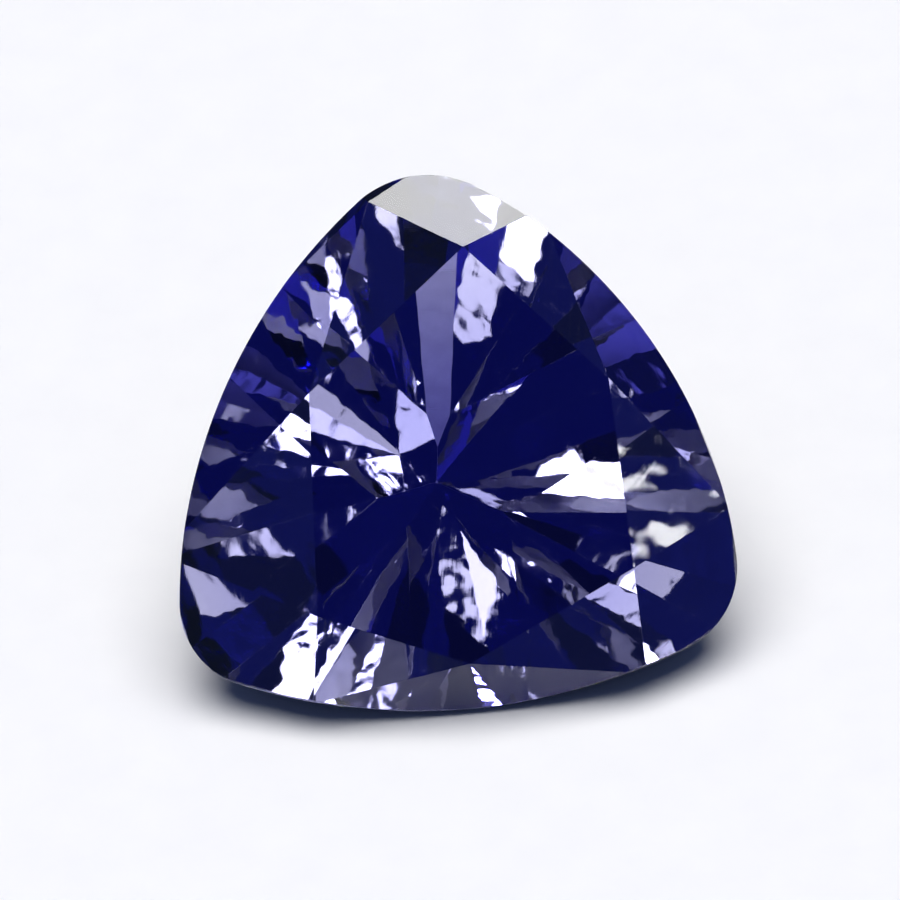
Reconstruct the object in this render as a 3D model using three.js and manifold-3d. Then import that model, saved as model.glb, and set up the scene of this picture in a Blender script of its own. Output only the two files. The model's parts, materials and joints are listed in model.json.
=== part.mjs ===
// A loose iolite, cut as a trillion: a rounded triangle with bowed sides, a flat table on top
// and a deep pavilion below. One crystal, ground flat face by flat face, lying as a loose stone
// comes to rest on a table top: over on the pavilion's front face. Millimetres, +Z up. The origin
// is under the middle of the stone, on the surface that it lies on.
import * as THREE from 'three';
import * as BufferGeometryUtils from 'three/addons/utils/BufferGeometryUtils.js';
import Module from 'manifold-3d';

// Outline of the girdle, seen over the table: three bowed sides joined by three round corners.
// Bow is a side's radius, reach is how far its middle stands from the outline's centre, and
// directions are degrees counter-clockwise from +X.
const SIDES = [
  { bow: 8.93, reach: 4.48, direction: 32.2 },
  { bow: 9.87, reach: 4.24, direction: 150.1 },
  { bow: 10.93, reach: 4.25, direction: 268.7 },
];
const CORNER_RADII = [1.83, 1.5, 1.6]; // between sides 1 and 2, 2 and 3, 3 and 1
const STEPS_PER_ARC = 40;

// The stone is cut by hand: the outline's centre stands a little off the axis
const OUTLINE_CENTRE = new THREE.Vector3(-0.18, 0.11, 0);

// Heights, from the middle of the girdle
const GIRDLE_THICKNESS = 0.28;
const CROWN_HEIGHT = 0.92;
const PAVILION_DEPTH = 4.5;

// Six main facets go round the crown, three towards the outline's corners and three towards its
// sides, with six more below them round the pavilion. Direction is where a main facet faces, and
// table is how far from the axis its corner of the table stands. Steeper is how many degrees the
// pavilion facet is ground steeper than one that runs to the culet.
const CORNER_MAINS = [
  { direction: 82.3, table: 4.17, steeper: 1.6 },
  { direction: 220.6, table: 3.51, steeper: -0.2 },
  { direction: 328.1, table: 3.65, steeper: 2.9 },
];
const SIDE_MAINS = [
  { direction: 27.4, table: 3.33, steeper: 0.5 },
  { direction: 144.5, table: 3.01, steeper: -0.1 },
  { direction: 270, table: 3.38, steeper: 0 },
];
const RESTING_DIRECTION = 270; // the pavilion facet that the stone lies on

// How far down the crown the star facets reach, and how far down the pavilion the lower halves do
const STAR_SHARE = 0.58;
const LOWER_HALF_SHARE = 0.82;

// How far the half facets turn away from the main facet beside them, in degrees
const UPPER_HALF_TURN = { corner: 24, side: 10.1 };
const LOWER_HALF_TURN = { corner: 29.2, side: 10.9 };

// The point that the pavilion's main facets run to, a little off the axis too
const CULET = new THREE.Vector3(-0.36, 0.12, -GIRDLE_THICKNESS / 2 - PAVILION_DEPTH);

const GIRDLE_TOP = GIRDLE_THICKNESS / 2;
const GIRDLE_BOTTOM = -GIRDLE_THICKNESS / 2;
const TABLE_LEVEL = GIRDLE_TOP + CROWN_HEIGHT;
const WHEEL_SIZE = 40; // the block ground away at each facet, larger than the stone
const UP = new THREE.Vector3(0, 0, 1);

const wasm = await Module();
wasm.setup();

function towards(direction) {
  const angle = THREE.MathUtils.degToRad(direction);
  return new THREE.Vector3(Math.cos(angle), Math.sin(angle), 0);
}

function angleOf(vector) {
  return Math.atan2(vector.y, vector.x);
}

// The circle that each side is an arc of
const sideCircles = SIDES.map(({ bow, reach, direction }) => ({
  centre: towards(direction).multiplyScalar(reach - bow).add(OUTLINE_CENTRE),
  radius: bow,
}));

// The circle of a corner lies inside the circles of both its sides and touches them. Its centre is
// where two smaller circles around their centres cross, on the outer side.
const cornerCircles = CORNER_RADII.map((radius, index) => {
  const first = sideCircles[index];
  const second = sideCircles[(index + 1) % SIDES.length];
  const apart = second.centre.clone().sub(first.centre);
  const distance = apart.length();
  const fromFirst = first.radius - radius;
  const fromSecond = second.radius - radius;
  const along = (fromFirst ** 2 - fromSecond ** 2 + distance ** 2) / (2 * distance);
  const across = Math.sqrt(fromFirst ** 2 - along ** 2);
  const unit = apart.divideScalar(distance);
  const outward = new THREE.Vector3(-unit.y, unit.x, 0);
  const centre = first.centre.clone().addScaledVector(unit, along).addScaledVector(outward, across);
  return {
    centre,
    radius,
    start: angleOf(centre.clone().sub(first.centre)),
    end: angleOf(centre.clone().sub(second.centre)),
  };
});

// Six arcs in turn, a side and then the corner after it. Each arc leaves out its last point,
// which is the first one of the next arc.
const outlinePoints = sideCircles.flatMap((side, index) => {
  const before = cornerCircles[(index + SIDES.length - 1) % SIDES.length];
  const after = cornerCircles[index];
  const arcs = [
    new THREE.ArcCurve(side.centre.x, side.centre.y, side.radius, before.end, after.start, false),
    new THREE.ArcCurve(after.centre.x, after.centre.y, after.radius, after.start, after.end, false),
  ];
  return arcs.flatMap((arc) => arc.getPoints(STEPS_PER_ARC).slice(0, -1));
});

// How far the outline reaches in a direction, measured from the axis
function reachOf(direction) {
  const out = towards(direction);
  return Math.max(...outlinePoints.map((point) => out.x * point.x + out.y * point.y));
}

function toSolid(geometry) {
  const bare = geometry.clone();
  bare.deleteAttribute('normal');
  bare.deleteAttribute('uv');
  const merged = BufferGeometryUtils.mergeVertices(bare);
  return new wasm.Manifold(new wasm.Mesh({
    numProp: 3,
    vertProperties: new Float32Array(merged.attributes.position.array),
    triVerts: new Uint32Array(merged.index.array),
  }));
}

function toGeometry(solid) {
  const mesh = solid.getMesh();
  const geometry = new THREE.BufferGeometry();
  geometry.setAttribute('position', new THREE.BufferAttribute(mesh.vertProperties, 3));
  geometry.setIndex(new THREE.BufferAttribute(mesh.triVerts, 1));
  const flat = geometry.toNonIndexed();
  flat.computeVertexNormals();
  return flat;
}

// The point that three planes share
function meetingPoint(a, b, c) {
  const point = b.normal.clone().cross(c.normal).multiplyScalar(-a.constant);
  point.addScaledVector(c.normal.clone().cross(a.normal), -b.constant);
  point.addScaledVector(a.normal.clone().cross(b.normal), -c.constant);
  return point.divideScalar(a.normal.dot(b.normal.clone().cross(c.normal)));
}

function levelPlane(height) {
  return new THREE.Plane(UP.clone(), -height);
}

// A facet that touches one edge of the girdle and leans in to pass through a point, or a few
// degrees steeper. It faces up where the point is above the edge, and down where it is below.
function leaningFacet(direction, edgeHeight, point, steeper = 0) {
  const out = towards(direction);
  const reach = reachOf(direction);
  const edge = out.clone().multiplyScalar(reach).setZ(edgeHeight);
  const run = reach - out.dot(point);
  const rise = point.z - edgeHeight;
  const lean = Math.atan2(Math.abs(rise), run) + THREE.MathUtils.degToRad(steeper);
  const normal = out.multiplyScalar(Math.sin(lean)).setZ(Math.sign(rise) * Math.cos(lean));
  return new THREE.Plane().setFromNormalAndCoplanarPoint(normal, edge);
}

// The main facets in order around the stone
const mains = [
  ...CORNER_MAINS.map((main) => ({ ...main, kind: 'corner' })),
  ...SIDE_MAINS.map((main) => ({ ...main, kind: 'side' })),
].sort((a, b) => a.direction - b.direction);

for (const main of mains) {
  main.tableCorner = towards(main.direction).multiplyScalar(main.table).setZ(TABLE_LEVEL);
  main.kite = leaningFacet(main.direction, GIRDLE_TOP, main.tableCorner);
  main.pavilion = leaningFacet(main.direction, GIRDLE_BOTTOM, CULET, main.steeper);
}

function halfFacets(main, next, turn, edgeHeight, point) {
  return [
    leaningFacet(main.direction + turn[main.kind], edgeHeight, point),
    leaningFacet(next.direction - turn[next.kind], edgeHeight, point),
  ];
}

// Crown: between two kites a star facet meets the table, and two half facets meet the girdle
function crownFacets(main, next) {
  const atTable = meetingPoint(main.kite, next.kite, levelPlane(TABLE_LEVEL));
  const atGirdle = meetingPoint(main.kite, next.kite, levelPlane(GIRDLE_TOP));
  const starTip = atTable.lerp(atGirdle, STAR_SHARE);
  const star = new THREE.Plane().setFromCoplanarPoints(main.tableCorner, starTip, next.tableCorner);
  return [main.kite, star, ...halfFacets(main, next, UPPER_HALF_TURN, GIRDLE_TOP, starTip)];
}

// Pavilion: between two main facets two lower halves run up to the girdle
function pavilionFacets(main, next) {
  const atGirdle = meetingPoint(main.pavilion, next.pavilion, levelPlane(GIRDLE_BOTTOM));
  const atCulet = meetingPoint(main.pavilion, next.pavilion, levelPlane(CULET.z));
  const halfTip = atGirdle.lerp(atCulet, LOWER_HALF_SHARE);
  return [main.pavilion, ...halfFacets(main, next, LOWER_HALF_TURN, GIRDLE_BOTTOM, halfTip)];
}

// The block to grind away: it stands on the facet, on the side that the facet faces
function wheelBlock(facet) {
  const block = new THREE.BoxGeometry(WHEEL_SIZE, WHEEL_SIZE, WHEEL_SIZE);
  block.translate(0, 0, WHEEL_SIZE / 2);
  block.applyQuaternion(new THREE.Quaternion().setFromUnitVectors(UP, facet.normal));
  const foot = facet.coplanarPoint(new THREE.Vector3());
  block.translate(foot.x, foot.y, foot.z);
  return toSolid(block);
}

function cutStone() {
  const rough = new THREE.ExtrudeGeometry(new THREE.Shape(outlinePoints), {
    depth: TABLE_LEVEL - CULET.z,
    bevelEnabled: false,
  });
  rough.translate(0, 0, CULET.z);
  let stone = toSolid(rough);
  mains.forEach((main, index) => {
    const next = mains[(index + 1) % mains.length];
    for (const facet of [...crownFacets(main, next), ...pavilionFacets(main, next)]) {
      stone = stone.subtract(wheelBlock(facet));
    }
  });
  return toGeometry(stone);
}

const iolite = new THREE.MeshStandardMaterial({ color: 0x1b1450, roughness: 0.04, metalness: 0 });
const stone = new THREE.Mesh(cutStone(), iolite);
stone.name = 'iolite_stone';

// Laid over until the resting facet faces straight down
const resting = mains.find((main) => main.direction === RESTING_DIRECTION).pavilion;
stone.quaternion.setFromUnitVectors(resting.normal, UP.clone().negate());

// Moved so that the origin is under the middle of the stone
const laid = new THREE.Group();
laid.add(stone);
const box = new THREE.Box3().setFromObject(laid, true);
const middle = box.getCenter(new THREE.Vector3());
laid.position.set(-middle.x, -middle.y, -box.min.z);

export default laid;
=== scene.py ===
"""A loose trillion-cut iolite lying on a pale card, seen from above over its table facet."""
import json
import math
import random

import bmesh
import bpy
from mathutils import Matrix, Vector


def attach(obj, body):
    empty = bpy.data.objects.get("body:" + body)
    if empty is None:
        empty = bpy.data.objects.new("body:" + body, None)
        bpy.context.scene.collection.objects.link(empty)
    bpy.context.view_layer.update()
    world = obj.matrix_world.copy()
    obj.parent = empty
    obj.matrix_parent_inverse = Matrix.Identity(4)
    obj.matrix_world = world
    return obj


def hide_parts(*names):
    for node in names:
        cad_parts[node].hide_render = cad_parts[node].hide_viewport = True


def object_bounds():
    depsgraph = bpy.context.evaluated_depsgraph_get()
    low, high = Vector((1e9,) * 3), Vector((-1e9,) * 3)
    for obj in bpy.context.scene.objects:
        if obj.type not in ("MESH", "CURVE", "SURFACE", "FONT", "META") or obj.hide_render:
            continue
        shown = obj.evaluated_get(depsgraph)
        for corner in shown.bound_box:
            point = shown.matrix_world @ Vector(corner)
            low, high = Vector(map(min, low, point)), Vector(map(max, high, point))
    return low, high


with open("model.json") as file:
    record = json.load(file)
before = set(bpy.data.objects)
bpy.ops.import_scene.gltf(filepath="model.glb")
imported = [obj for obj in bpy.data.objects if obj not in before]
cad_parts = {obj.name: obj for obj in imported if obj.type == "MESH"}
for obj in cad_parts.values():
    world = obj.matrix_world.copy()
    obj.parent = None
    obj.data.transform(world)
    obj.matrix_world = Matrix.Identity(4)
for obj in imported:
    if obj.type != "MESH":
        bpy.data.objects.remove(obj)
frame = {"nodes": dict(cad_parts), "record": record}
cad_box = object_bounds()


# The cut stone
# One crystal of iolite, sawn from the rough, ground on a flat lap facet by facet and polished, all
# but the girdle, which is left finely ground. Its facets meet in edges that are a little rubbed.
MM = 0.001
STONE_NODE = "iolite_stone"
EDGE_WEAR = 0.011 * MM            # width that rubbing has taken off the facet edges
SAME_POINT = 0.0002 * MM          # points closer than this are one point
FLAT_WITHIN = math.radians(0.6)   # faces turned less than this are one facet
ROUND_WITHIN = math.radians(3.0)  # the girdle's faces turn less than this from each other
UPRIGHT_WITHIN = 0.02             # sine of the most that a girdle face leans on the table's axis
LAP_SEED = 7

mounts = {mount["name"]: mount for mount in frame["record"]["mounts"]}
table_up = Vector(mounts["table"]["axis"]).normalized()


def is_girdle(face):
    """The girdle's faces stand square to the table."""
    return abs(face.normal.dot(table_up)) < UPRIGHT_WITHIN


def cut_crystal(node):
    """The stone with one face for each facet and a narrow rubbed strip along every facet edge."""
    shape = bmesh.new()
    shape.from_mesh(node.data)
    bmesh.ops.remove_doubles(shape, verts=shape.verts, dist=SAME_POINT)
    bmesh.ops.dissolve_limit(shape, angle_limit=FLAT_WITHIN, verts=shape.verts, edges=shape.edges)
    sharp = [edge for edge in shape.edges if edge.calc_face_angle(0.0) > ROUND_WITHIN]
    strips = bmesh.ops.bevel(shape, geom=sharp, offset=EDGE_WEAR, offset_type="WIDTH", segments=1,
                             profile=0.5, affect="EDGES", clamp_overlap=True)["faces"]
    shape.normal_update()
    return shape, set(strips)


def mean(vectors):
    return sum(vectors, Vector()).normalized()


def smooth_normal(face, vert, strips):
    """A facet is flat and the girdle is round. A strip turns from one of its sides to the other."""
    beside = [other for other in vert.link_faces if other not in strips]
    if face in strips and beside:
        return mean([smooth_normal(other, vert, strips) for other in beside])
    if face not in strips and is_girdle(face):
        return mean([other.normal for other in beside if is_girdle(other)])
    return face.normal.copy()


shape, strips = cut_crystal(frame["nodes"][STONE_NODE])
normals = [smooth_normal(face, loop.vert, strips) for face in shape.faces for loop in face.loops]

# Each facet has its own lap direction: the UV map runs along it, in millimetres
lap_map = shape.loops.layers.uv.new("lap")
worn = shape.faces.layers.float.new("worn")
ground = shape.faces.layers.float.new("ground")
directions = random.Random(LAP_SEED)
for face in shape.faces:
    side = face.normal.orthogonal().normalized()
    side.rotate(Matrix.Rotation(directions.uniform(0, math.pi), 3, face.normal))
    if is_girdle(face) and face not in strips:
        side = face.normal.cross(table_up).normalized()
        face[ground] = 1.0
    across = face.normal.cross(side)
    face[worn] = 1.0 if face in strips else 0.0
    for loop in face.loops:
        loop[lap_map].uv = (loop.vert.co.dot(side) / MM, loop.vert.co.dot(across) / MM)
    face.smooth = True

stone_mesh = bpy.data.meshes.new("iolite_crystal")
shape.to_mesh(stone_mesh)
shape.free()
stone_mesh.normals_split_custom_set([tuple(normal) for normal in normals])
stone = bpy.data.objects.new("iolite_crystal", stone_mesh)
bpy.context.scene.collection.objects.link(stone)


class Wire:
    """One output of a shader node. Operators add Math nodes, and add() puts in any other node."""

    def __init__(self, tree, socket=None):
        self.tree = tree
        self.socket = socket

    def add(self, kind, settings=None, inputs=None, output=0):
        node = self.tree.nodes.new(kind)
        for name, value in (settings or {}).items():
            if name == "stops":
                for index, (place, colour) in enumerate(value):
                    ramp = node.color_ramp.elements
                    stop = ramp[index] if index < len(ramp) else ramp.new(place)
                    stop.position = place
                    stop.color = (*colour, 1.0)
            else:
                setattr(node, name, value)
        for name, value in (inputs or {}).items():
            if isinstance(value, Wire):
                self.tree.links.new(value.socket, node.inputs[name])
            else:
                node.inputs[name].default_value = value
        return Wire(self.tree, node.outputs[output] if len(node.outputs) else None)

    def reckon(self, operation, *values):
        return self.add("ShaderNodeMath", {"operation": operation}, dict(enumerate(values)))

    def __add__(self, other):
        return self.reckon("ADD", self, other)

    def __sub__(self, other):
        return self.reckon("SUBTRACT", self, other)

    def __rsub__(self, other):
        return self.reckon("SUBTRACT", other, self)

    def __mul__(self, other):
        return self.reckon("MULTIPLY", self, other)

    __radd__ = __add__
    __rmul__ = __mul__

    def above(self, low, high):
        """0 up to low, 1 from high on, and smooth between."""
        return self.add("ShaderNodeMapRange", {"interpolation_type": "SMOOTHSTEP"},
                        {"Value": self, "From Min": low, "From Max": high})


# Clear crystal, dark violet blue by the light that it takes up along the way
IOLITE_INDEX = 1.542
LEFT_PER_MM = (0.69, 0.685, 0.89)   # shares of red, green and blue left after one millimetre
ABSORB_DENSITY = 500.0              # per metre
absorb_colour = [1 + math.log(share) / MM / ABSORB_DENSITY for share in LEFT_PER_MM]

# The facets aren't perfectly flat: long low waves, finer ripples, and streaks left by the lap
WAVES_PER_M = 420.0
RIPPLES_PER_M = 1500.0
GRAINS_PER_M = 16000.0              # of the ground girdle
STREAKS_PER_MM = (0.5, 22.0, 1.0)   # along the lap's direction and across it
RELIEF_STEP = 0.004 * MM            # the four heights below count in these steps
WAVE_HEIGHT = 2.4
RIPPLE_HEIGHT = 1.3
STREAK_HEIGHT = 0.03
GRAIN_HEIGHT = 1.2

POLISHED_ROUGHNESS = 0.008
STREAKS_ADD = 0.03
RUBBING_ADDS = 0.25
GRINDING_ADDS = 0.3
GRAIN_ADDS = 0.2
CLEAR_TINTS = [(0.3, (0.97, 0.965, 1.0)), (0.7, (0.99, 0.985, 1.0))]

crystal = bpy.data.materials.new("iolite")
crystal.use_nodes = True
crystal.node_tree.nodes.clear()
board = Wire(crystal.node_tree)
lap = board.add("ShaderNodeUVMap", {"uv_map": "lap"})
place = board.add("ShaderNodeTexCoord", output="Object")
rubbed = board.add("ShaderNodeAttribute", {"attribute_name": "worn"}, output="Fac")
matte = board.add("ShaderNodeAttribute", {"attribute_name": "ground"}, output="Fac")

along_lap = board.add("ShaderNodeMapping", {}, {"Vector": lap, "Scale": STREAKS_PER_MM})
streaks = board.add("ShaderNodeTexNoise", {}, {
    "Vector": along_lap, "Scale": 1.0, "Detail": 3.0, "Roughness": 0.6})
waves = board.add("ShaderNodeTexNoise", {}, {
    "Vector": place, "Scale": WAVES_PER_M, "Detail": 1.0})
ripples = board.add("ShaderNodeTexNoise", {}, {
    "Vector": place, "Scale": RIPPLES_PER_M, "Detail": 1.0})
grain = board.add("ShaderNodeTexNoise", {}, {
    "Vector": place, "Scale": GRAINS_PER_M, "Detail": 2.0})
polish = streaks.above(0.35, 0.75) * STREAKS_ADD + POLISHED_ROUGHNESS
roughness = polish + rubbed * RUBBING_ADDS + matte * (grain * GRAIN_ADDS + GRINDING_ADDS)
relief = (waves * WAVE_HEIGHT + ripples * RIPPLE_HEIGHT + streaks * STREAK_HEIGHT
          + grain * matte * GRAIN_HEIGHT)
bump = board.add("ShaderNodeBump", {}, {
    "Height": relief, "Strength": 1.0, "Distance": RELIEF_STEP})
tint = board.add("ShaderNodeValToRGB", {"stops": CLEAR_TINTS}, {"Fac": waves})
surface = board.add("ShaderNodeBsdfPrincipled", {}, {
    "Base Color": tint, "Roughness": roughness, "IOR": IOLITE_INDEX,
    "Transmission Weight": 1.0, "Normal": bump})
depth = board.add("ShaderNodeVolumeAbsorption", {}, {
    "Color": (*absorb_colour, 1.0), "Density": ABSORB_DENSITY})
board.add("ShaderNodeOutputMaterial", {}, {"Surface": surface, "Volume": depth})
stone_mesh.materials.append(crystal)

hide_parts(STONE_NODE)
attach(stone, "root")


# The floor
# A wide sheet of pale uncoated card under the stone, pressed from fibres. It isn't part of the
# object: the stone only lies on it.
FLOOR_HALF = 600 * MM
AIR_GAP = 0.01 * MM     # the card's fibres hold the facet this far off it
FIBRES_PER_M = 900.0
CARD_TINTS = [(0.3, (0.86, 0.86, 0.87)), (0.7, (0.88, 0.88, 0.885))]
CARD_ROUGHNESS = 0.9

floor_mesh = bpy.data.meshes.new("pale_floor")
corners = [(-1, -1), (1, -1), (1, 1), (-1, 1)]
floor_mesh.from_pydata(
    [(x * FLOOR_HALF, y * FLOOR_HALF, -AIR_GAP) for x, y in corners], [], [(0, 1, 2, 3)])
floor = bpy.data.objects.new("pale_floor", floor_mesh)
bpy.context.scene.collection.objects.link(floor)

card = bpy.data.materials.new("card")
card.use_nodes = True
card.node_tree.nodes.clear()
board = Wire(card.node_tree)
place = board.add("ShaderNodeTexCoord", output="Object")
fibre = board.add("ShaderNodeTexNoise", {}, {
    "Vector": place, "Scale": FIBRES_PER_M, "Detail": 4.0})
tint = board.add("ShaderNodeValToRGB", {"stops": CARD_TINTS}, {"Fac": fibre})
surface = board.add("ShaderNodeBsdfPrincipled", {}, {
    "Base Color": tint, "Roughness": CARD_ROUGHNESS, "Specular IOR Level": 0.0})
board.add("ShaderNodeOutputMaterial", {}, {"Surface": surface})
floor_mesh.materials.append(card)


# The light
# One wide soft lamp over the floor, and small, very bright round lamps that are seen through the
# stone or mirrored in it. Each small lamp is placed by its angle from the table's axis and its turn
# around it, counter-clockwise from the stone's right, in degrees.
right = Vector((1, 0, 0))
upward = table_up.cross(right).normalized()
low, high = cad_box
middle = (low + high) / 2

# The crystal lets far more blue through than red and green. The lamps that are seen through it are
# yellow, so they come out as white patches, and its facets don't mirror them. They mirror only the
# white lamps, which aren't seen through the stone. After a lamp's two angles comes how wide it looks
# from the stone, in degrees, and how many times it outshines white. Another program picked most of
# this list, as the lamps whose renders together came nearest to the photo. It was then rounded, and
# changed in places.
LAMPS_THROUGH_STONE = {
    "yellow_lamp": ((0.93, 1.0, 0.07), [
        (10.5, 144, 5.5, 50), (11, 306, 8, 28), (15, 249, 5.5, 28), (18, 338, 8, 110),
        (19.5, 67, 5.5, 55), (19.5, 120, 5.5, 180), (19.5, 293, 5.5, 45), (25, 335, 8, 120),
        (33, 37, 5.5, 60), (33, 250, 5.5, 200), (33, 307, 5.5, 50), (37.5, 44, 5.5, 220),
        (37.5, 147, 5.5, 200), (37.5, 257, 5.5, 130), (37.5, 345, 5.5, 260), (39, 152, 8, 80),
        (39, 186, 8, 40), (46, 0, 8, 160), (46, 10, 8, 290), (69, 161, 5.5, 290)]),
    "cream_lamp": ((1.0, 0.97, 0.75), [(96, 110, 5.5, 120)]),
}
LAMPS_MIRRORED = {"white_lamp": ((1.0, 1.0, 1.0), [(32, 0, 8, 14), (74, 81, 8, 9)])}
LAMPS_FAR = 2000 * MM

FLOOR_LAMP_FAR = 500 * MM
FLOOR_LAMP_ACROSS = 60
FLOOR_LAMP_GLOW = 3.3
FLOOR_LAMP_COLOUR = (1.0, 0.985, 0.95)


def direction(polar, turn):
    polar, turn = math.radians(polar), math.radians(turn)
    aside = right * math.cos(turn) + upward * math.sin(turn)
    return table_up * math.cos(polar) + aside * math.sin(polar)


def lamp(name, towards, far, across, glow, colour):
    """A round soft lamp that shines towards the stone and isn't seen itself by the camera."""
    data = bpy.data.lights.new(name, "AREA")
    data.shape = "DISK"
    data.size = 2 * far * math.tan(math.radians(across / 2))
    data.energy = glow * 4 * math.pi * (data.size / 2) ** 2
    data.color = colour
    item = bpy.data.objects.new(name, data)
    item.location = middle + towards * far
    item.rotation_mode = "QUATERNION"
    item.rotation_quaternion = towards.to_track_quat("Z", "Y")
    item.visible_camera = False
    bpy.context.scene.collection.objects.link(item)
    return item


for bank, mirrored in ((LAMPS_THROUGH_STONE, False), (LAMPS_MIRRORED, True)):
    for name, (colour, lamps) in bank.items():
        for number, (polar, turn, across, glow) in enumerate(lamps):
            towards = direction(polar, turn)
            item = lamp(f"{name}_{number + 1}", towards, LAMPS_FAR, across, glow, colour)
            item.visible_diffuse = False
            item.visible_glossy = mirrored
            item.visible_transmission = not mirrored

floor_lamp = lamp("floor_wash", Vector((0, 0, 1)), FLOOR_LAMP_FAR, FLOOR_LAMP_ACROSS,
                  FLOOR_LAMP_GLOW, FLOOR_LAMP_COLOUR)
floor_lamp.visible_glossy = False
floor_lamp.visible_transmission = False


# The room
# A dim blue room with a wide soft ring of light around the camera. The ring leaves out the camera's
# own place, so the table mirrors only the dim room. The ring's edges and the camera's angle were
# found by a search program too, by likeness to the photo.
CAMERA_BELOW = 3.3      # degrees that the camera stands below the table's axis
RING_INNER = 10.2       # degrees from the camera's way
RING_OUTER = 58
RING_INNER_BLUR = 1
RING_OUTER_BLUR = 2
RING_GLOW = 0.17
ROOM_GLOW = 0.10
ROOM_COLOUR = (0.3, 0.42, 0.95)

camera_way = (table_up - upward * math.tan(math.radians(CAMERA_BELOW))).normalized()


def within(angle, blur):
    """1 closer to the camera's way than this angle, 0 further off, and smooth between."""
    return nearness.above(math.cos(math.radians(angle + blur)), math.cos(math.radians(angle - blur)))


world = bpy.data.worlds.new("studio")
world.use_nodes = True
world.node_tree.nodes.clear()
board = Wire(world.node_tree)
way = board.add("ShaderNodeTexCoord", output="Generated")
nearness = board.add("ShaderNodeVectorMath", {"operation": "DOT_PRODUCT"},
                     {0: way, 1: tuple(camera_way)}, "Value")
ring = within(RING_OUTER, RING_OUTER_BLUR) - within(RING_INNER, RING_INNER_BLUR)
shine = board.add("ShaderNodeBackground", {}, {
    "Color": (*ROOM_COLOUR, 1), "Strength": ring * RING_GLOW + ROOM_GLOW})
board.add("ShaderNodeOutputWorld", {}, {"Surface": shine})
bpy.context.scene.world = world


# The camera
# Over the table and close to its axis, as in the photo, which shows the stone turned a little.
# It is aimed so that the stone fills the same box of the picture as in the photo.
PHOTO_SIDE = 900
PHOTO_LEFT, PHOTO_TOP, PHOTO_RIGHT, PHOTO_BOTTOM = 180, 173, 737, 713   # of the stone, in pixels
STONE_TURN = 5.2                  # degrees counter-clockwise
GIRDLE_BELOW_TABLE = 1.1 * MM
CAMERA_DISTANCE = 300 * MM
NEAREST_SEEN = 1 * MM
FURTHEST_SEEN = 5000 * MM

turn = Matrix.Rotation(math.radians(-STONE_TURN), 3, camera_way)
view_right = turn @ right.cross(camera_way).cross(-camera_way).normalized()
view_up = camera_way.cross(view_right)
across = [vert.co.dot(view_right) for vert in stone_mesh.vertices]
upright = [vert.co.dot(view_up) for vert in stone_mesh.vertices]
pixel = (max(across) - min(across)) / (PHOTO_RIGHT - PHOTO_LEFT)
photo_middle = PHOTO_SIDE / 2
off_right = (photo_middle - (PHOTO_LEFT + PHOTO_RIGHT) / 2) * pixel
off_up = ((PHOTO_TOP + PHOTO_BOTTOM) / 2 - photo_middle) * pixel
aim_right = (max(across) + min(across)) / 2 + off_right
aim_up = (max(upright) + min(upright)) / 2 + off_up
girdle_level = Vector(mounts["table"]["pos_m"]).dot(camera_way) - GIRDLE_BELOW_TABLE
aim = view_right * aim_right + view_up * aim_up + camera_way * girdle_level

camera_data = bpy.data.cameras.new("camera")
camera_data.lens = camera_data.sensor_width * CAMERA_DISTANCE / (PHOTO_SIDE * pixel)
camera_data.clip_start = NEAREST_SEEN
camera_data.clip_end = FURTHEST_SEEN
camera = bpy.data.objects.new("camera", camera_data)
camera.location = aim + camera_way * CAMERA_DISTANCE
camera.rotation_mode = "QUATERNION"
facing = Matrix((view_right, view_up, camera_way)).transposed()
camera.rotation_quaternion = facing.to_quaternion()
bpy.context.scene.collection.objects.link(camera)
bpy.context.scene.camera = camera

# Light crosses many facets before it leaves the stone, and the brightest lamps aren't cut down
scene = bpy.context.scene
scene.view_settings.view_transform = "Standard"
scene.cycles.max_bounces = 20
scene.cycles.transmission_bounces = 18
scene.cycles.glossy_bounces = 18
scene.cycles.use_denoising = True
scene.cycles.sample_clamp_indirect = 0.0
scene.cycles.caustics_reflective = False
scene.cycles.caustics_refractive = False
